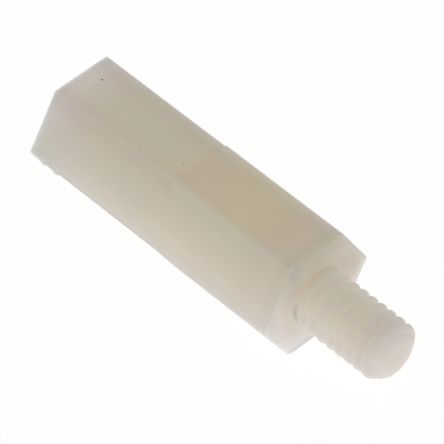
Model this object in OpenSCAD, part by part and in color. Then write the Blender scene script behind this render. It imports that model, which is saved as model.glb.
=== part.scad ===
// Male-female hexagon standoff, moulded in one piece from natural nylon.
//
// It lies on one flat. X runs along the axis and out of the stud, Z points up,
// and the origin is on the axis, in the plane of the shoulder that the stud
// stands on. The modules below are written upright, with the axis along Z and
// the stud on top, and standoff() lays the finished piece down.
//
// The two halves of the mould meet near the middle of the hexagon. The half
// that forms the stud end is a little wider, so every flat has a fine step
// there. The stud's thread is drawn as rings of its true section, a pitch apart,
// and the socket is bored to the crests of its own thread.

/* [Hexagon] */
// Width across the flats in the stud half
across_flats = 7; // [6.5:0.1:10]
// Length from the end face to the shoulder
body_length = 19; // [14:0.5:40]
// Radius along the six corners
corner_radius = 0.25; // [0.1:0.05:0.6]

/* [Parting line] */
// How far the parting line lies from the shoulder
parting_from_shoulder = 9.25; // [3:0.25:12]
// Step down from each flat of the stud half to the one of the socket half
parting_step = 0.06; // [0.02:0.01:0.15]

/* [Thread] */
// Nominal diameter of both threads
thread_diameter = 4; // [2.5:0.5:5]
// Pitch of both threads
thread_pitch = 0.7; // [0.45:0.05:0.8]

/* [Stud] */
// Length from the shoulder to the tip
stud_length = 6.3; // [4:0.1:12]
// How far the stud's crests stay inside the nominal radius
stud_allowance = 0.1; // [0.05:0.01:0.2]
// Radius that rounds the tip
tip_radius = 0.8; // [0.4:0.05:1]
// Distance from the shoulder to the middle of the first groove
shoulder_to_groove = 0.55; // [0.3:0.05:1]
// Distance from the tip within which no groove has its middle
tip_to_groove = 0.75; // [0.5:0.05:2]

/* [Socket] */
// Depth of the bore at its full width, from the end face
socket_depth = 9; // [5:0.5:12]
// How far the lead-in's mouth stands outside the nominal radius
lead_in_margin = 0.15; // [0.05:0.05:0.4]
// Height of the cone at the bottom of the bore
socket_end_cone = 0.45; // [0.2:0.05:0.8]

/* [Hidden] */

natural_nylon = [0.80, 0.76, 0.67];

corners = 6;
corner_turn = 360 / corners;

// A metric thread is cut from a sharp 60 degree triangle. The sharp groove would end at
// 7/8 of the triangle's height under the nominal radius, the stud's ends at 17/24 of it,
// and the socket's thread stands 5/8 of it inwards.
half_flank_angle = 30;
triangle_height = thread_pitch * cos(half_flank_angle);
thread_radius = thread_diameter / 2;
stud_radius = thread_radius - stud_allowance;
stud_root_radius = thread_radius - 17 / 24 * triangle_height;
sharp_root_radius = thread_radius - 7 / 8 * triangle_height;
socket_radius = thread_radius - 5 / 8 * triangle_height;

lead_in_radius = thread_radius + lead_in_margin;
socket_end_radius = socket_radius - socket_end_cone;

// How far solids that belong together are sunk into each other, and how far
// what is cut or cuts stands out of a face
overlap = 0.2;

// How far a round stands out of the outline that trims it
trim = 0.002;

// Smoothness of the round forms
$fn = 96;

// Hexagon with rounded corners and two of its flats square to X. Bars between
// opposite flats and a disc in each corner fill it, and the sharp hexagon trims
// them all, so that each corner is a true arc between two true flats.
module rounded_hexagon(flats) {
    corner_at = (flats / 2 - corner_radius) / cos(corner_turn / 2);
    flat_width = 2 * corner_at * sin(corner_turn / 2);
    intersection() {
        rotate(corner_turn / 2)
            circle(r = flats / 2 / cos(corner_turn / 2), $fn = corners);
        union() {
            for (i = [0 : corners / 2 - 1])
                rotate(i * corner_turn)
                    square([flats + overlap, flat_width], center = true);
            for (i = [0 : corners - 1])
                rotate((i + 0.5) * corner_turn)
                    translate([corner_at, 0])
                        circle(r = corner_radius + trim);
        }
    }
}

// Half of the body that carries the stud, from the parting line to the shoulder
module stud_half() {
    translate([0, 0, -parting_from_shoulder])
        linear_extrude(height = parting_from_shoulder)
            rounded_hexagon(across_flats);
}

// Half of the body that holds the socket, from the end face to the parting line
module socket_half() {
    socket_half_length = body_length - parting_from_shoulder;
    translate([0, 0, -body_length])
        linear_extrude(height = socket_half_length + overlap)
            rounded_hexagon(across_flats - 2 * parting_step);
}

// Cutter for the socket's bore, with its 45 degree lead-in and the cone at its bottom
module socket() {
    bottom = socket_depth + socket_end_cone;
    translate([0, 0, -body_length])
        rotate_extrude()
            polygon([
                [0, -overlap],
                [lead_in_radius + overlap, -overlap],
                [socket_radius, lead_in_radius - socket_radius],
                [socket_radius, socket_depth],
                [socket_end_radius, bottom],
                [0, bottom]
            ]);
}

// Outline of one groove of the stud's thread, through the crests and past them
module groove() {
    mouth_radius = stud_radius + overlap;
    root_half_width = (stud_root_radius - sharp_root_radius) * tan(half_flank_angle);
    mouth_half_width = (mouth_radius - sharp_root_radius) * tan(half_flank_angle);
    polygon([
        [stud_root_radius, -root_half_width],
        [mouth_radius, -mouth_half_width],
        [mouth_radius, mouth_half_width],
        [stud_root_radius, root_half_width]
    ]);
}

// Outline of the stud at the width of its crests, with a rounded tip and a small flat end
module stud_blank() {
    tip_start = stud_length - tip_radius;
    tip_flat_radius = stud_radius - tip_radius;
    intersection() {
        translate([0, -overlap])
            square([stud_radius, overlap + stud_length]);
        union() {
            translate([0, -overlap])
                square([stud_radius + overlap, overlap + tip_start]);
            square([tip_flat_radius, stud_length + overlap]);
            translate([tip_flat_radius, tip_start])
                circle(r = tip_radius + trim);
        }
    }
}

// Threaded stud
module stud() {
    rotate_extrude()
        difference() {
            stud_blank();
            for (height = [shoulder_to_groove : thread_pitch : stud_length - tip_to_groove])
                translate([0, height])
                    groove();
        }
}

module standoff() {
    color(natural_nylon)
        rotate([0, 90, 0])
            difference() {
                union() {
                    stud_half();
                    socket_half();
                    stud();
                }
                socket();
            }
}

standoff();
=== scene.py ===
"""Hexagon standoff, moulded in one piece from natural nylon, on a white studio floor.

The piece is modelled in millimetres and brought to metres when it is finished. X runs
along its axis and out of the stud, Z points up, and the shoulder stands in the plane X = 0.
"""

from math import cos, pi, radians, sin, tan

import bpy
from mathutils import Matrix, Vector


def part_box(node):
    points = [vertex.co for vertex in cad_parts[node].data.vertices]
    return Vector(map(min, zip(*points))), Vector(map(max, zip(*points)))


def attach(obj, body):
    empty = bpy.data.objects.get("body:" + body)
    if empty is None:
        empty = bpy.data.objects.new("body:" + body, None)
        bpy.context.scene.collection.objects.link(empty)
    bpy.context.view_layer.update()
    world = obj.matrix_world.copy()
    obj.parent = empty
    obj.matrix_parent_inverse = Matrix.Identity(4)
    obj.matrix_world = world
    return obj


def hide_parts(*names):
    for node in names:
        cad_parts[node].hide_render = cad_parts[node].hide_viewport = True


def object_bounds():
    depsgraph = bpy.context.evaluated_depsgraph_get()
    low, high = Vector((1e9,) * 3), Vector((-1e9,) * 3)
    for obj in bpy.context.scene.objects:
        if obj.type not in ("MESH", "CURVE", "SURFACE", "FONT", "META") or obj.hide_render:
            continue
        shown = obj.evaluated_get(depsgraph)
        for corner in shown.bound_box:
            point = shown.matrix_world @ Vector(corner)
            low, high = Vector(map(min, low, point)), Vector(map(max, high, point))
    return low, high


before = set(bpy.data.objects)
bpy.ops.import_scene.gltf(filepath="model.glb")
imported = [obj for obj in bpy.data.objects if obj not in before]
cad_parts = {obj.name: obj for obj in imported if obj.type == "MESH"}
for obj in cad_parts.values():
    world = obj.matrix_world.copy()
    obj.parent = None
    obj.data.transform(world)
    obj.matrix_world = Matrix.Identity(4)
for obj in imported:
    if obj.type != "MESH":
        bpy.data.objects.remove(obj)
CAD_LOW, CAD_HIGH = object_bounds()

# ---------------------------------------------------------------- sizes, in millimetres

TO_METRES = 0.001
NODE_LOW, NODE_HIGH = (Vector(corner) / TO_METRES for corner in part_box("standoff"))

ACROSS_FLATS = NODE_HIGH.z - NODE_LOW.z
BODY_LENGTH = -NODE_LOW.x
STUD_LENGTH = NODE_HIGH.x
FLATS = 6
HALF_FLAT = pi / FLATS     # half of the turn that one flat takes up
CORNER_RADIUS = 0.25
CORNER_STEPS = 5
RIM_ROUNDING = 0.035
RIM_STEPS = 3

PARTING_FROM_SHOULDER = 9.25
PARTING_STEP = 0.06

THREAD_PITCH = 0.7
FLANK_ANGLE = radians(30)
CREST_FLAT = 1 / 16        # half of a cut thread's flat crest, in pitches
CREST_POWER = 0.7          # below 1, it widens a moulded thread's crests
CREST_AT = 0.2             # how far past the shoulder a crest crosses the stud's +Y side
STUD_CREST = 1.9
STUD_ROOT = 1.57
THREAD_END = 5.97
THREAD_END_SLANT = 0.12
THREAD_END_HIGH = (0.845, 0.534)    # towards the side, in Y and Z, on which it ends last

NOSE_RADIUS = STUD_ROOT + 0.10
NOSE_START = THREAD_END - 0.6
NOSE_END = STUD_LENGTH + 0.08
NOSE_ROUNDING = 0.68
NOSE_LEAN = radians(2.0)
LEAN_FROM = THREAD_END - 0.4

# Smooth outline that trims the thread's crests where they run out into the nose
TRIM_RADIUS = STUD_CREST - 0.005
TRIM_END = NOSE_END + 0.06
TRIM_ROUNDING_ALONG = 0.83
TRIM_ROUNDING_OUT = 0.95

SOCKET_BORE = 1.6211
SOCKET_MAJOR = 2.0
SOCKET_DEPTH = 9.0
SOCKET_CONE = 0.45
SOCKET_THREAD_DEPTH = 8.2
TAP_CORE = SOCKET_BORE - 0.02    # just inside the bore, so that the tap's grooves cut clean
LEAD_IN = 2.15

FLASH_THICKNESS = 0.13
# Outline of the flash on the end face, as (Y, Z): its ragged edge, then two points inside
FLASH = [
    (-3.95, 0.06), (-3.98, -0.08), (-3.94, -0.24), (-3.75, -0.63), (-3.52, -1.01),
    (-3.35, -1.30), (-3.24, -1.52), (-3.19, -1.68), (-3.12, -1.80), (-2.97, -1.94),
    (-2.83, -2.13), (-2.60, -2.51), (-2.41, -2.87), (-2.36, -3.02), (-2.30, -3.16),
    (-2.21, -3.28), (-2.07, -3.45), (-1.94, -3.49), (-1.80, -3.40), (-1.90, -3.15),
    (-3.70, -0.10),
]
NICK_Y = -3.09
NICK_Z = 1.60
NICK_RADIUS = 0.11

OVERLAP = 0.3              # how far solids that are joined or cut reach into each other
MERGE = 0.0005             # points nearer to each other than this are one
NEAR = 0.01                # what is nearer to a plane than this lies in it
TURN_STEPS = 72
WAVE_STEPS = 12
NOSE_STEPS = 8
SPARE_TURNS = 3            # of a thread, drawn past its ends and cut off
SMOOTH_ANGLE = radians(35)


# ---------------------------------------------------------------- modelling steps

def leave_edit():
    if bpy.context.mode != "OBJECT":
        bpy.ops.object.mode_set(mode="OBJECT")


def only(shape):
    """Makes the shape the one that is selected and active."""
    leave_edit()
    bpy.ops.object.select_all(action="DESELECT")
    shape.select_set(True)
    bpy.context.view_layer.objects.active = shape


def settle(shape):
    """Puts the shape's place, turn and scale into its mesh."""
    only(shape)
    bpy.ops.object.transform_apply(location=True, rotation=True, scale=True)


def named(name):
    """Names the primitive that was just added, and settles it."""
    shape = bpy.context.active_object
    shape.name = name
    settle(shape)
    return shape


def pick(shape, kind, wanted):
    """Enters edit mode with only the faces or edges selected that are wanted.

    The test is given a face's centre and normal, or an edge's two ends.
    """
    only(shape)
    bpy.ops.object.mode_set(mode="EDIT")
    bpy.ops.mesh.select_mode(type=kind)
    bpy.ops.mesh.select_all(action="DESELECT")
    bpy.ops.object.mode_set(mode="OBJECT")
    mesh = shape.data
    if kind == "FACE":
        for face in mesh.polygons:
            face.select = wanted(face.center, face.normal)
    else:
        for edge in mesh.edges:
            ends = [mesh.vertices[i].co for i in edge.vertices]
            edge.select = wanted(ends[0], ends[1])
    bpy.ops.object.mode_set(mode="EDIT")


def pick_all(shape):
    only(shape)
    bpy.ops.object.mode_set(mode="EDIT")
    bpy.ops.mesh.select_mode(type="VERT")
    bpy.ops.mesh.select_all(action="SELECT")


def clean(shape):
    """Merges doubles and turns every face outwards."""
    pick_all(shape)
    bpy.ops.mesh.remove_doubles(threshold=MERGE)
    bpy.ops.mesh.normals_make_consistent(inside=False)
    leave_edit()


def modify(shape, kind, **settings):
    """Adds a modifier with these settings and applies it."""
    only(shape)
    modifier = shape.modifiers.new(kind.title(), kind)
    for setting, value in settings.items():
        setattr(modifier, setting, value)
    bpy.ops.object.modifier_apply(modifier=modifier.name)


def combine(shape, other, operation):
    """Joins, cuts or intersects the shape with the other one, and deletes that one."""
    modify(shape, "BOOLEAN", operation=operation, object=other, solver="EXACT")
    bpy.data.objects.remove(other, do_unlink=True)


def cut_off(shape, x, side):
    """Cuts away what lies on this side of a plane through a point of the axis."""
    pick_all(shape)
    bpy.ops.mesh.bisect(plane_co=(x, 0, 0), plane_no=side, use_fill=True, clear_outer=True)
    clean(shape)


def drawn_line(name, points):
    """Line through the points, drawn by extruding its end."""
    bpy.ops.mesh.primitive_plane_add(size=1)
    line = named(name)
    pick_all(line)
    bpy.ops.mesh.merge(type="CENTER")
    place = Vector(points[0])
    bpy.ops.transform.translate(value=place)
    for point in points[1:]:
        bpy.ops.mesh.extrude_region_move(
            TRANSFORM_OT_translate={"value": Vector(point) - place}
        )
        place = Vector(point)
    leave_edit()
    return line


def turned(name, outline):
    """Solid of revolution about X, from (along, out) points. The ends lie on the axis."""
    solid = drawn_line(name, [(x, out, 0) for x, out in outline])
    pick_all(solid)
    bpy.ops.mesh.spin(steps=TURN_STEPS, angle=2 * pi, center=(0, 0, 0), axis=(1, 0, 0))
    clean(solid)
    return solid


def moulded_thread(root, crest):
    """One pitch of a moulded thread, from one groove's middle to the next, as (along, out)."""
    profile = []
    for step in range(WAVE_STEPS + 1):
        share = step / WAVE_STEPS - 0.5
        height = (0.5 + 0.5 * cos(2 * pi * share)) ** CREST_POWER
        profile.append((share * THREAD_PITCH, root + height * (crest - root)))
    return profile


def cut_thread(root, crest):
    """One pitch of a cut thread, with straight flanks, as (along, out)."""
    flank_end = CREST_FLAT + (crest - root) * tan(FLANK_ANGLE) / THREAD_PITCH
    return [
        (-0.5 * THREAD_PITCH, root),
        (-flank_end * THREAD_PITCH, root),
        (-CREST_FLAT * THREAD_PITCH, crest),
        (CREST_FLAT * THREAD_PITCH, crest),
        (flank_end * THREAD_PITCH, root),
        (0.5 * THREAD_PITCH, root),
    ]


def threaded_rod(name, profile, start, end, crest_at):
    """Rod with a right-hand thread from start to end. A crest crosses +Y at crest_at."""
    turns_before = int((crest_at - start) / THREAD_PITCH) + SPARE_TURNS
    first = crest_at - turns_before * THREAD_PITCH
    turns = int((end - first) / THREAD_PITCH) + SPARE_TURNS
    rod = drawn_line(name, [(first + x, out, 0) for x, out in profile])
    modify(
        rod, "SCREW", axis="X", angle=2 * pi, screw_offset=THREAD_PITCH, iterations=turns,
        steps=TURN_STEPS, render_steps=TURN_STEPS, use_merge_vertices=True,
        merge_threshold=MERGE,
    )
    clean(rod)
    cut_off(rod, start, (-1, 0, 0))
    cut_off(rod, end, (1, 0, 0))
    return rod


# ---------------------------------------------------------------- the standoff

def hexagonal_body():
    """The two halves of the hexagon, with the fine step of the mould's parting line."""
    socket_flats = ACROSS_FLATS - 2 * PARTING_STEP
    socket_half = BODY_LENGTH - PARTING_FROM_SHOULDER
    bpy.ops.mesh.primitive_cylinder_add(
        vertices=FLATS, radius=socket_flats / 2 / cos(HALF_FLAT), depth=socket_half,
        location=(socket_half / 2 - BODY_LENGTH, 0, 0), rotation=(0, pi / 2, 0),
    )
    body = named("standoff_body")
    pick(body, "EDGE", lambda a, b: abs(a.x - b.x) > NEAR)
    bpy.ops.mesh.bevel(offset=CORNER_RADIUS * tan(HALF_FLAT), segments=CORNER_STEPS, affect="EDGES")
    pick(body, "FACE", lambda centre, normal: centre.x > -PARTING_FROM_SHOULDER - NEAR)
    bpy.ops.mesh.extrude_region_move()
    wider = ACROSS_FLATS / socket_flats
    bpy.ops.transform.resize(value=(1, wider, wider))
    bpy.ops.mesh.extrude_region_move(
        TRANSFORM_OT_translate={"value": (PARTING_FROM_SHOULDER, 0, 0)}
    )
    clean(body)
    round_rims(body)
    return body


def round_rims(body):
    """Breaks the sharp rims of the shoulder and the end face."""
    def on_ends(a, b):
        return max(a.x, b.x) < NEAR - BODY_LENGTH or min(a.x, b.x) > -NEAR

    pick(body, "EDGE", on_ends)
    bpy.ops.mesh.bevel(offset=RIM_ROUNDING, segments=RIM_STEPS, affect="EDGES")
    leave_edit()


def threaded_stud():
    """Stud whose thread runs out askew into its rounded nose, which leans a little."""
    profile = moulded_thread(STUD_ROOT, STUD_CREST)
    stud = threaded_rod("threaded_stud", profile, -OVERLAP, STUD_LENGTH, CREST_AT)
    cut_off(stud, THREAD_END, (1, *(-THREAD_END_SLANT * share for share in THREAD_END_HIGH)))
    core = rounded_bar(
        "stud_core", NOSE_RADIUS, NOSE_START, NOSE_END, NOSE_ROUNDING, NOSE_ROUNDING
    )
    lean(core)
    combine(stud, core, "UNION")
    trim = rounded_bar(
        "stud_trim", TRIM_RADIUS, -2 * OVERLAP, TRIM_END, TRIM_ROUNDING_ALONG, TRIM_ROUNDING_OUT
    )
    combine(stud, trim, "INTERSECT")
    return stud


def rounded_bar(name, radius, start, end, along, out):
    """Round bar from start to end. Its end is rounded over this much along and out."""
    outline = [(start, 0), (start, radius)]
    for step in range(NOSE_STEPS + 1):
        angle = pi / 2 * step / NOSE_STEPS
        outline.append((end - along * (1 - sin(angle)), radius - out * (1 - cos(angle))))
    outline.append((end, 0))
    return turned(name, outline)


def lean(core):
    """Tilts the stud's core away from the side on which the thread ends last."""
    y, z = THREAD_END_HIGH
    foot = Matrix.Translation((LEAN_FROM, 0, 0))
    core.matrix_world = foot @ Matrix.Rotation(NOSE_LEAN, 4, (0, -z, y)) @ foot.inverted()
    settle(core)


def socket_bore():
    """Cutter for the plain bore with its lead-in and the cone at its bottom."""
    mouth = -BODY_LENGTH
    return turned("socket_bore", [
        (mouth - OVERLAP, 0),
        (mouth - OVERLAP, LEAD_IN + OVERLAP),
        (mouth + LEAD_IN - SOCKET_BORE, SOCKET_BORE),
        (mouth + SOCKET_DEPTH, SOCKET_BORE),
        (mouth + SOCKET_DEPTH + SOCKET_CONE, SOCKET_BORE - SOCKET_CONE),
        (mouth + SOCKET_DEPTH + SOCKET_CONE, 0),
    ])


def socket_tap():
    """Cutter for the socket's thread."""
    mouth = -BODY_LENGTH
    return threaded_rod(
        "socket_tap", cut_thread(TAP_CORE, SOCKET_MAJOR), mouth - OVERLAP,
        mouth + SOCKET_THREAD_DEPTH, mouth + CREST_AT,
    )


def flash():
    """Ragged fin of flash along the lower front rim of the end face."""
    fin = drawn_line("flash", [(-BODY_LENGTH, y, z) for y, z in FLASH])
    pick_all(fin)
    bpy.ops.mesh.edge_face_add()
    bpy.ops.mesh.extrude_region_move(TRANSFORM_OT_translate={"value": (FLASH_THICKNESS, 0, 0)})
    clean(fin)
    return fin


def rim_nick():
    """Cutter for a small nick in the upper front rim of the end face."""
    bpy.ops.mesh.primitive_ico_sphere_add(
        subdivisions=3, radius=NICK_RADIUS, location=(-BODY_LENGTH, NICK_Y, NICK_Z)
    )
    return named("rim_nick")


def standoff():
    """The whole piece, in metres."""
    piece = hexagonal_body()
    combine(piece, flash(), "UNION")
    combine(piece, rim_nick(), "DIFFERENCE")
    combine(piece, threaded_stud(), "UNION")
    combine(piece, socket_bore(), "DIFFERENCE")
    combine(piece, socket_tap(), "DIFFERENCE")
    clean(piece)
    piece.name = "moulded_standoff"
    piece.data.name = "moulded_standoff"
    piece.scale = (TO_METRES,) * 3
    settle(piece)
    bpy.ops.object.shade_smooth_by_angle(angle=SMOOTH_ANGLE)
    piece.data.materials.clear()
    return piece


# ---------------------------------------------------------------- nodes

class Value:
    """A node's output. Expressions on values add the Math nodes that work them out."""

    def __init__(self, finish, socket):
        self.finish = finish
        self.socket = socket

    def math(self, operation, *others):
        values = dict(enumerate((self, *others)))
        return self.finish.node("ShaderNodeMath", {"operation": operation}, values)

    def __add__(self, other):
        return self.math("ADD", other)

    def __sub__(self, other):
        return self.math("SUBTRACT", other)

    def __mul__(self, other):
        return self.math("MULTIPLY", other)

    def __truediv__(self, other):
        return self.math("DIVIDE", other)

    __radd__ = __add__
    __rmul__ = __mul__


class Finish:
    """The nodes of a material, or of the world."""

    def __init__(self, owner):
        owner.use_nodes = True
        self.nodes = owner.node_tree.nodes
        self.links = owner.node_tree.links
        self.nodes.clear()

    def node(self, kind, settings=None, inputs=None, output=0):
        """Adds a node and gives one of its outputs.

        Inputs and the output are given by name or by number.
        """
        node = self.nodes.new(kind)
        for setting, value in (settings or {}).items():
            if setting == "stops":
                set_stops(node.color_ramp, value)
            else:
                setattr(node, setting, value)
        for key, value in (inputs or {}).items():
            if isinstance(value, Value):
                self.links.new(value.socket, node.inputs[key])
            else:
                node.inputs[key].default_value = value
        return Value(self, node.outputs[output]) if node.outputs else None

    def step(self, value, start, end, rise="SMOOTHSTEP"):
        """0 before start, 1 after end, and a rise between them."""
        return self.node(
            "ShaderNodeMapRange", {"interpolation_type": rise},
            {0: value, 1: start, 2: end, 3: 0.0, 4: 1.0},
        )

    def noise(self, place, scale, detail=2.0, roughness=0.5):
        return self.node(
            "ShaderNodeTexNoise", None,
            {"Vector": place, "Scale": scale, "Detail": detail, "Roughness": roughness},
        )

    def mixed(self, factor, colour, other, blend="MIX"):
        """The colour, with another colour or tone laid over it where the factor is 1."""
        over = other if isinstance(other, Value) else rgba(other)
        return self.node(
            "ShaderNodeMix", {"data_type": "RGBA", "blend_type": blend},
            {0: factor, 6: colour, 7: over}, output=2,
        )

    def tinted(self, factor, colour, tint):
        """The colour, multiplied by the tint where the factor is 1."""
        return self.mixed(factor, colour, tint, "MULTIPLY")

    def along(self, value, tones):
        """Colour at a value, between tones given as (value, tone)."""
        start, end = tones[0][0], tones[-1][0]
        stops = [((at - start) / (end - start), rgba(tone)) for at, tone in tones]
        share = (value - start) / (end - start)
        return self.node("ShaderNodeValToRGB", {"stops": stops}, {0: share})

    def distance(self, place, point):
        return self.node(
            "ShaderNodeVectorMath", {"operation": "DISTANCE"}, {0: place, 1: point}, output=1
        )

    def glow(self, strength):
        return self.node(
            "ShaderNodeEmission", None, {"Color": grey(1.0), "Strength": strength}
        )

    def seen_directly(self):
        """1 for what the camera sees, directly, in a gloss or through something clear."""
        seen, in_gloss, through_clear = [
            self.node("ShaderNodeLightPath", None, None, output=ray)
            for ray in ("Is Camera Ray", "Is Glossy Ray", "Is Transmission Ray")
        ]
        return seen.math("MAXIMUM", in_gloss).math("MAXIMUM", through_clear)


class Place:
    """Where a point of the nylon lies, in millimetres."""

    def __init__(self, nylon):
        coordinates = nylon.node("ShaderNodeTexCoord", None, None, output="Object")
        self.whole = nylon.node(
            "ShaderNodeMapping", None, {"Vector": coordinates, "Scale": (1 / TO_METRES,) * 3}
        )
        self.x, self.y, self.z = [
            nylon.node("ShaderNodeSeparateXYZ", None, {0: self.whole}, output=axis)
            for axis in "XYZ"
        ]
        self.from_axis = (self.y * self.y + self.z * self.z).math("SQRT")
        # Out from the axis, square to the upper and to the lower front flat
        self.out_upper = self.y * -cos(HALF_FLAT) + self.z * sin(HALF_FLAT)
        self.out_lower = self.y * -cos(HALF_FLAT) - self.z * sin(HALF_FLAT)


def set_stops(ramp, stops):
    """Gives a colour ramp its stops, as (place, colour) pairs."""
    while len(ramp.elements) > 1:
        ramp.elements.remove(ramp.elements[-1])
    ramp.elements[0].position, ramp.elements[0].color = stops[0]
    for place, colour in stops[1:]:
        ramp.elements.new(place).color = colour


def rgba(tone):
    return (*tone, 1.0)


def grey(level):
    return rgba((level,) * 3)


# ---------------------------------------------------------------- the nylon's colours, with painted light and shade

# Tones of the flats and the stud, each as (millimetres along X, tone). They hold the nylon's own
# ivory together with painted light and shade. The nylon is painted more amber where it is
# thickest, and paler and greyer towards the end face and underneath, for light passing through it,
# and the sides' tones change with height as painted light from below. The high tones are those
# of the sides just under the top, and the low ones those at half height.
TOP_TONES = [
    (-19.0, (0.640, 0.590, 0.510)),
    (-18.2, (0.980, 0.805, 0.705)),
    (-17.0, (0.985, 0.832, 0.697)),
    (-15.5, (0.985, 0.846, 0.652)),
    (-9.6, (0.985, 0.832, 0.642)),
    (-9.0, (0.888, 0.763, 0.589)),
    (-4.5, (0.910, 0.785, 0.567)),
    (-1.0, (0.862, 0.740, 0.597)),
    (-0.1, (0.700, 0.620, 0.475)),
    (0.0, (0.638, 0.574, 0.352)),
]
HIGH_TONES = [
    (-19.0, (0.587, 0.518, 0.494)),
    (-18.2, (0.829, 0.721, 0.663)),
    (-17.0, (0.818, 0.734, 0.640)),
    (-15.5, (0.834, 0.745, 0.590)),
    (-9.6, (0.828, 0.740, 0.575)),
    (-9.0, (0.807, 0.736, 0.594)),
    (-4.5, (0.822, 0.756, 0.593)),
    (-1.0, (0.798, 0.723, 0.594)),
    (-0.1, (0.695, 0.600, 0.478)),
    (0.0, (0.615, 0.490, 0.350)),
]
LOW_TONES = [
    (-19.0, (0.659, 0.667, 0.548)),
    (-17.0, (0.844, 0.784, 0.718)),
    (-14.0, (0.935, 0.852, 0.738)),
    (-10.0, (0.955, 0.855, 0.752)),
    (-1.0, (0.907, 0.828, 0.745)),
    (-0.1, (0.855, 0.752, 0.675)),
    (0.0, (0.850, 0.725, 0.615)),
]
# Tones of the lower front flat, as (millimetres along X, tone): painted shade on that flat
LOWER_FRONT_TONES = [
    (-19.0, (0.56, 0.52, 0.48)),
    (-9.5, (0.63, 0.58, 0.54)),
    (0.0, (0.77, 0.72, 0.67)),
]
STUD_TONES = [
    (0.0, (0.930, 0.863, 0.780)),
    (0.4, (0.960, 0.895, 0.780)),
    (1.0, (0.965, 0.890, 0.765)),
    (2.0, (0.950, 0.868, 0.750)),
    (4.0, (0.948, 0.852, 0.740)),
    (6.3, (0.860, 0.770, 0.700)),
]
# Tones of the shoulder, as (millimetres along Z, tone): painted light and shade, darkest at the top
SHOULDER_TONES = [
    (-3.5, (0.905, 0.880, 0.930)),
    (-1.8, (0.810, 0.755, 0.712)),
    (0.0, (0.898, 0.832, 0.779)),
    (2.0, (0.895, 0.832, 0.715)),
    (3.5, (0.680, 0.605, 0.500)),
]
# Painted shade underneath
UNDERSIDE_TONE = (0.80, 0.75, 0.69)
END_TONE = (0.80, 0.75, 0.68)
# Painted shade on the shoulder's far side, towards +Y
FAR_SHOULDER_TONE = (0.60, 0.50, 0.36)
# Painted light on the shoulder around the stud's root, where shade falls
STUD_ROOT_TONE = (0.95, 0.88, 0.81)
# Painted shade on the thread's crests, evening out the shading between crests and grooves
CREST_SHADE_TONE = (0.84, 0.73, 0.58)
# Painted shade on the shoulder's front and top rims
FRONT_RIM_TONE = (0.66, 0.585, 0.475)
TOP_RIM_TONE = (0.61, 0.54, 0.39)
# A greyer stretch on the shoulder's front rim
GREY_RIM_TONE = (0.64, 0.58, 0.54)
# Painted shade on the flash
FLASH_SHADE_TONE = (0.60, 0.56, 0.52)

# How much darker painted shade makes the nylon beside the edges between its flats, on the
# shoulder's front and on the stud
UPPER_EDGE_SHADE = (0.92, 0.895, 0.91)
LOWER_EDGE_SHADE = (0.82, 0.82, 0.83)
TOP_FRONT_SHADE = (0.85, 0.87, 0.89)
TOP_BACK_SHADE = (0.81, 0.85, 0.88)
SHOULDER_FRONT_SHADE = (0.88, 0.88, 0.88)
STUD_FRONT_SHADE = (0.84, 0.865, 0.93)
CREST_SHADE_TINT = (0.955, 0.96, 0.97)

# Strengths of what is laid over another colour
SHADE_IN_STUD_HALF = 0.4    # against 1 in the half with the socket
FAR_SHOULDER_STRENGTH = 0.45
STUD_ROOT_STRENGTH = 0.8
CREST_STRENGTH = 0.3

# Spans in which one colour passes into another: where it starts and where it is done. They
# are in millimetres, along X, Y or Z or out from the axis, as each name says.
SOCKET_HALF_X = (-9.0, -9.4)
HIGH_TO_LOW_Z = (3.3, 0.0)
UPPER_EDGE_Z = (2.2, 3.5)
LOWER_EDGE_Z = (0.95, 0.0)
LOWER_EDGE_POWER = 2.0     # makes that tint rise slowly at first
UNDERSIDE_Z = (0.0, -1.5)
LOWER_FRONT_Z = (0.12, -0.15)
LOWER_FRONT_OUT = (3.36, 3.42)
TOP_Z = (3.0, 3.2)
TOP_Y = (2.06, 1.88)       # on both sides of the axis
TOP_FRONT_Y = (-0.6, -1.9)
TOP_BACK_Y = (0.2, 1.8)
SHOULDER_X = (-0.012, -0.002)
FAR_SHOULDER_Y = (1.0, 3.6)
SHOULDER_FRONT_Y = (-0.6, -1.6)
SHOULDER_FRONT_Z = (0.2, 2.2)
SHOULDER_CORNER_Y = (-2.6, -3.6)
STUD_ROOT_OUT = (2.4, 1.6)
END_X = (-18.955, -18.975)
SOCKET_X = (-1.0, -2.0)
SOCKET_OUT = (2.6, 2.3)
STUD_X = (0.005, 0.05)
STUD_OUT = (2.3, 1.9)
STUD_SKIN_OUT = (1.2, 1.7)
CREST_TINT_OUT = (1.6, 1.86)
CREST_OUT = (1.66, 1.86)
RIM_X = (-0.05, -0.03)
RIM_OUT = (3.43, 3.47)
GREY_RIM_TOP_Z = (2.6, 2.0)
GREY_RIM_LOW_Z = (0.1, 0.7)
FLASH_X = (-18.80, -18.88)
FLASH_OUT = (3.42, 3.47)

# The stud's painted shade is deepest at this angle below its -Y side. The span is of the cosine of
# the angle from there.
STUD_FRONT = radians(30)
STUD_FRONT_COSINE = (0.6, 1.0)


def edge_shade_strength(nylon, at):
    """How strong the painted shade beside the edges is: full in the half with the socket."""
    return nylon.step(at.x, *SOCKET_HALF_X) * (1 - SHADE_IN_STUD_HALF) + SHADE_IN_STUD_HALF


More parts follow.
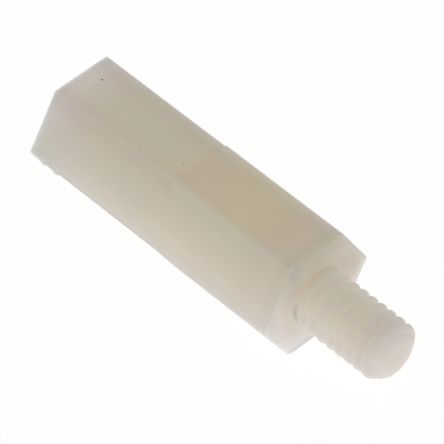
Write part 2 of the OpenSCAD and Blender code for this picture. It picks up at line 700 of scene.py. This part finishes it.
def side_tone(nylon, at, strength):
    """Colour of the flats beside the top, and of all that lies below them, with painted light and
    shade by height, beside the edges and underneath.
    """
    lower = nylon.step(at.z, *HIGH_TO_LOW_Z, "LINEAR")
    tone = nylon.mixed(lower, nylon.along(at.x, HIGH_TONES), nylon.along(at.x, LOW_TONES))
    upper_edge = nylon.step(at.z, *UPPER_EDGE_Z) * strength
    tone = nylon.tinted(upper_edge, tone, UPPER_EDGE_SHADE)
    lower_edge = nylon.step(at.z, *LOWER_EDGE_Z, "LINEAR").math("POWER", LOWER_EDGE_POWER)
    tone = nylon.tinted(lower_edge, tone, LOWER_EDGE_SHADE)
    tone = nylon.mixed(nylon.step(at.z, *UNDERSIDE_Z), tone, UNDERSIDE_TONE)
    lower_front = nylon.step(at.out_lower, *LOWER_FRONT_OUT) * nylon.step(at.z, *LOWER_FRONT_Z)
    return nylon.mixed(lower_front, tone, nylon.along(at.x, LOWER_FRONT_TONES))


def top_tone(nylon, at, strength):
    """Colour of the flat on top, with painted shade beside both of its edges."""
    tone = nylon.along(at.x, TOP_TONES)
    front = nylon.step(at.y, *TOP_FRONT_Y) * strength
    tone = nylon.tinted(front, tone, TOP_FRONT_SHADE)
    back = nylon.step(at.y, *TOP_BACK_Y) * strength
    return nylon.tinted(back, tone, TOP_BACK_SHADE)


def shoulder_tone(nylon, at):
    """Colour of the shoulder, with painted shade in front and on its far side and painted light
    around the stud.
    """
    far = nylon.step(at.y, *FAR_SHOULDER_Y) * FAR_SHOULDER_STRENGTH
    tone = nylon.mixed(far, nylon.along(at.z, SHOULDER_TONES), FAR_SHOULDER_TONE)
    front = nylon.step(at.y, *SHOULDER_FRONT_Y) * nylon.step(at.z, *SHOULDER_FRONT_Z)
    front = front.math("MAXIMUM", nylon.step(at.y, *SHOULDER_CORNER_Y))
    tone = nylon.tinted(front, tone, SHOULDER_FRONT_SHADE)
    root = nylon.step(at.from_axis, *STUD_ROOT_OUT) * STUD_ROOT_STRENGTH
    return nylon.mixed(root, tone, STUD_ROOT_TONE)


def stud_tone(nylon, at):
    """Colour of the stud, with painted shade on its lower front side and on the thread's crests."""
    cosine = (at.y * -cos(STUD_FRONT) - at.z * sin(STUD_FRONT)) / at.from_axis
    front = nylon.step(cosine, *STUD_FRONT_COSINE) * nylon.step(at.from_axis, *STUD_SKIN_OUT)
    tone = nylon.tinted(front, nylon.along(at.x, STUD_TONES), STUD_FRONT_SHADE)
    tone = nylon.tinted(nylon.step(at.from_axis, *CREST_TINT_OUT, "LINEAR"), tone, CREST_SHADE_TINT)
    crest = nylon.step(at.from_axis, *CREST_OUT) * CREST_STRENGTH
    return nylon.mixed(crest, tone, CREST_SHADE_TONE)


def nylon_tone(nylon, at):
    """Colour of the nylon with its painted light and shade, before its rims and the marks in its
    skin.
    """
    strength = edge_shade_strength(nylon, at)
    on_top = nylon.step(at.y.math("ABSOLUTE"), *TOP_Y) * nylon.step(at.z, *TOP_Z)
    tone = nylon.mixed(on_top, side_tone(nylon, at, strength), top_tone(nylon, at, strength))
    on_shoulder = nylon.step(at.x, *SHOULDER_X)
    tone = nylon.mixed(on_shoulder, tone, shoulder_tone(nylon, at))
    in_socket = nylon.step(at.from_axis, *SOCKET_OUT) * nylon.step(at.x, *SOCKET_X)
    on_end = nylon.step(at.x, *END_X).math("MAXIMUM", in_socket)
    tone = nylon.mixed(on_end, tone, END_TONE)
    on_stud = nylon.step(at.x, *STUD_X) * nylon.step(at.from_axis, *STUD_OUT)
    return nylon.mixed(on_stud, tone, stud_tone(nylon, at))


def with_rims(nylon, at, tone):
    """Painted shade on the rims of the shoulder, the front rim greyer along a stretch, and painted
    shade on the flash.
    """
    beside_shoulder = nylon.step(at.x, *RIM_X)
    front_rim = nylon.step(at.out_upper, *RIM_OUT) * beside_shoulder
    tone = nylon.mixed(front_rim, tone, FRONT_RIM_TONE)
    top_rim = nylon.step(at.z, *RIM_OUT) * beside_shoulder
    tone = nylon.mixed(top_rim, tone, TOP_RIM_TONE)
    grey_stretch = front_rim * nylon.step(at.z, *GREY_RIM_TOP_Z) * nylon.step(at.z, *GREY_RIM_LOW_Z)
    tone = nylon.mixed(grey_stretch, tone, GREY_RIM_TONE)
    on_flash = nylon.step(at.x, *FLASH_X) * nylon.step(at.out_lower, *FLASH_OUT)
    return nylon.mixed(on_flash, tone, FLASH_SHADE_TONE)


# ---------------------------------------------------------------- the marks in its skin, and a streak of painted shade

# The scales of the noise, here and in the nylon's skin, are in features per millimetre
CLOUD_TONE = (0.60, 0.55, 0.45)
CLOUD_STRENGTH = 0.1
CLOUD_SCALE = 0.35

# A ragged streak of painted shade on the top, beside its front edge
SHADE_STREAK_TONE = (0.84, 0.72, 0.52)
SHADE_STREAK_Y = -1.74
SHADE_STREAK_Z = 3.44
SHADE_STREAK_OFF_LINE = (0.13, 0.03)
SHADE_STREAK_START_X = (-15.2, -13.6)
SHADE_STREAK_END_X = (-11.0, -12.4)
SHADE_STREAK_STRENGTH = 0.7
RAGGED_LEVELS = (0.38, 0.55)     # of the noise that breaks it up
RAGGED_SCALE = 2.2

# Specks, as (place in millimetres, radius, tone)
SPECKS = [
    ((-17.79, 0.52, 3.44), 0.055, (0.03, 0.025, 0.02)),
    ((-17.87, 0.22, 3.44), 0.07, (0.97, 0.95, 0.92)),
    ((-9.91, -0.65, 3.47), 0.05, (0.45, 0.38, 0.30)),
    ((-10.16, -0.80, 3.44), 0.05, (0.97, 0.94, 0.88)),
    ((-0.03, -1.88, 3.48), 0.05, (0.84, 0.78, 0.70)),
    ((6.25, 0.62, 1.10), 0.10, (0.80, 0.72, 0.66)),
    ((6.20, 1.06, 0.42), 0.12, (0.80, 0.72, 0.66)),
]
SPECK_FADES = 1.4          # where a speck has faded out, in radii
SPECK_FULL = 0.7           # where it is full, in radii
SPECK_STRENGTH = 0.9


def with_marks(nylon, at, tone):
    """The faint clouds in the nylon, the streak of painted shade and the specks."""
    clouds = nylon.noise(at.whole, CLOUD_SCALE, detail=3.0) * CLOUD_STRENGTH
    tone = nylon.mixed(clouds, tone, CLOUD_TONE)
    tone = nylon.mixed(shade_streak(nylon, at) * SHADE_STREAK_STRENGTH, tone, SHADE_STREAK_TONE)
    for point, radius, speck_tone in SPECKS:
        away = nylon.distance(at.whole, point)
        speck = nylon.step(away, radius * SPECK_FADES, radius * SPECK_FULL)
        tone = nylon.mixed(speck * SPECK_STRENGTH, tone, speck_tone)
    return tone


def shade_streak(nylon, at):
    """1 in the streak of painted shade, which follows a line along X and is broken up by noise."""
    line = nylon.node("ShaderNodeCombineXYZ", None, {"X": at.x, "Y": SHADE_STREAK_Y, "Z": SHADE_STREAK_Z})
    streaked = nylon.step(nylon.distance(at.whole, line), *SHADE_STREAK_OFF_LINE)
    streaked = streaked * nylon.step(at.x, *SHADE_STREAK_START_X) * nylon.step(at.x, *SHADE_STREAK_END_X)
    return streaked * nylon.step(nylon.noise(at.whole, RAGGED_SCALE), *RAGGED_LEVELS)


# ---------------------------------------------------------------- the nylon

ROUGHNESS = 0.50
ROUGHNESS_SPREAD = 0.12
ROUGHNESS_SCALE = 1.4
WAVE_SCALE = 0.5
GRAIN_SCALE = 9.0
GRAIN_HEIGHT = 0.4         # as a share of the waves' height
SKIN_DEPTH = 0.00002       # in metres
SKIN_STRENGTH = 0.25
SCATTER_RADIUS = (0.85, 0.95, 1.0)
SCATTER_DEPTH = 0.003      # in metres
NYLON_IOR = 1.53
SHINE = 0.3


def natural_nylon():
    """Milky nylon with a satin moulded skin, faint clouds, painted light and shade, and a few
    specks.
    """
    material = bpy.data.materials.new("natural_nylon")
    nylon = Finish(material)
    at = Place(nylon)
    tone = nylon_tone(nylon, at)
    tone = with_rims(nylon, at, tone)
    tone = with_marks(nylon, at, tone)

    roughness = ROUGHNESS + ROUGHNESS_SPREAD * nylon.noise(at.whole, ROUGHNESS_SCALE, detail=4.0)
    grain = nylon.noise(at.whole, GRAIN_SCALE, detail=3.0, roughness=0.6)
    waves = nylon.noise(at.whole, WAVE_SCALE, detail=1.0)
    skin = nylon.node("ShaderNodeBump", None, {
        "Strength": SKIN_STRENGTH, "Distance": SKIN_DEPTH, "Height": grain * GRAIN_HEIGHT + waves,
    })
    surface = nylon.node("ShaderNodeBsdfPrincipled", {"subsurface_method": "RANDOM_WALK"}, {
        "Base Color": tone, "Roughness": roughness, "Normal": skin, "IOR": NYLON_IOR,
        "Subsurface Weight": 1.0, "Subsurface Radius": SCATTER_RADIUS,
        "Subsurface Scale": SCATTER_DEPTH, "Specular IOR Level": SHINE,
    })
    nylon.node("ShaderNodeOutputMaterial", None, {"Surface": surface})
    return material


# ---------------------------------------------------------------- studio, in metres

AIM = Vector((-0.00797, 0.00049, -0.00070))
CAMERA_AZIMUTH = radians(46.194)
CAMERA_ELEVATION = radians(47.536)
CAMERA_DISTANCE = 0.277
CAMERA_LENS = 400.0        # in millimetres, like the sensor's width
SENSOR_WIDTH = 36.0
NEAREST_SEEN = 0.01
FARTHEST_SEEN = 20.0

FLOOR_SIZE = 6.0
TABLE_GREY = 0.9
TABLE_LIGHT = 0.44
TABLE_SEEN_WHITE = 0.88    # share of pure white in what is seen of the table
WORLD_LIGHT = 0.635
MOST_BOUNCES = 20          # light crosses the socket many times before it leaves the nylon

# Soft boxes, as (name, place, width, height, radiance relative to white)
SOFT_BOXES = [
    ("front_soft_box", (0.16, -0.26, 0.03), 0.40, 0.12, 0.37),
    ("left_soft_box", (-0.28, -0.10, 0.05), 0.20, 0.16, 0.16),
]
SOFT_BOX_AIM = (-0.007, 0, 0)


def look(thing, place, at):
    """Puts a camera or lamp at a place, looking at a point."""
    thing.location = place
    thing.rotation_euler = (Vector(at) - Vector(place)).to_track_quat("-Z", "Y").to_euler()


def camera():
    bpy.ops.object.camera_add()
    view = bpy.context.active_object
    view.name = "camera"
    view.data.lens = CAMERA_LENS
    view.data.sensor_width = SENSOR_WIDTH
    view.data.clip_start = NEAREST_SEEN
    view.data.clip_end = FARTHEST_SEEN
    back = Vector((
        sin(CAMERA_AZIMUTH) * cos(CAMERA_ELEVATION),
        -cos(CAMERA_AZIMUTH) * cos(CAMERA_ELEVATION),
        sin(CAMERA_ELEVATION),
    ))
    look(view, AIM + back * CAMERA_DISTANCE, AIM)
    bpy.context.scene.camera = view


def soft_box(name, place, width, height, radiance):
    bpy.ops.object.light_add(type="AREA")
    lamp = bpy.context.active_object
    lamp.name = name
    lamp.data.shape = "RECTANGLE"
    lamp.data.size = width
    lamp.data.size_y = height
    lamp.data.energy = radiance * pi * width * height
    look(lamp, place, SOFT_BOX_AIM)


def studio_white():
    """White table, lit from below, that looks evenly white and keeps a faint shadow."""
    material = bpy.data.materials.new("studio_white")
    table = Finish(material)
    diffuse = table.node("ShaderNodeBsdfDiffuse", None, {"Color": grey(TABLE_GREY)})
    opal = table.node("ShaderNodeAddShader", None, {0: diffuse, 1: table.glow(TABLE_LIGHT)})
    surface = table.node(
        "ShaderNodeMixShader", None,
        {0: table.seen_directly() * TABLE_SEEN_WHITE, 1: opal, 2: table.glow(1.0)},
    )
    table.node("ShaderNodeOutputMaterial", None, {"Surface": surface})
    return material


def floor():
    bpy.ops.mesh.primitive_plane_add(size=FLOOR_SIZE, location=(0, 0, CAD_LOW.z))
    sheet = named("studio_floor")
    sheet.data.materials.append(studio_white())


def surroundings():
    """Even light from all round, which looks pure white where it is seen."""
    world = bpy.data.worlds.new("studio")
    bpy.context.scene.world = world
    sky = Finish(world)
    level = sky.node(
        "ShaderNodeMapRange", None, {0: sky.seen_directly(), 3: WORLD_LIGHT, 4: 1.0}
    )
    background = sky.node("ShaderNodeBackground", None, {"Strength": level})
    sky.node("ShaderNodeOutputWorld", None, {"Surface": background})


bpy.context.scene.view_settings.view_transform = "Standard"
bpy.context.scene.cycles.max_bounces = MOST_BOUNCES
bpy.context.scene.cycles.diffuse_bounces = MOST_BOUNCES
camera()
floor()
surroundings()
for box in SOFT_BOXES:
    soft_box(*box)

piece = standoff()
piece.data.materials.append(natural_nylon())
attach(piece, "root")
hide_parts("standoff")
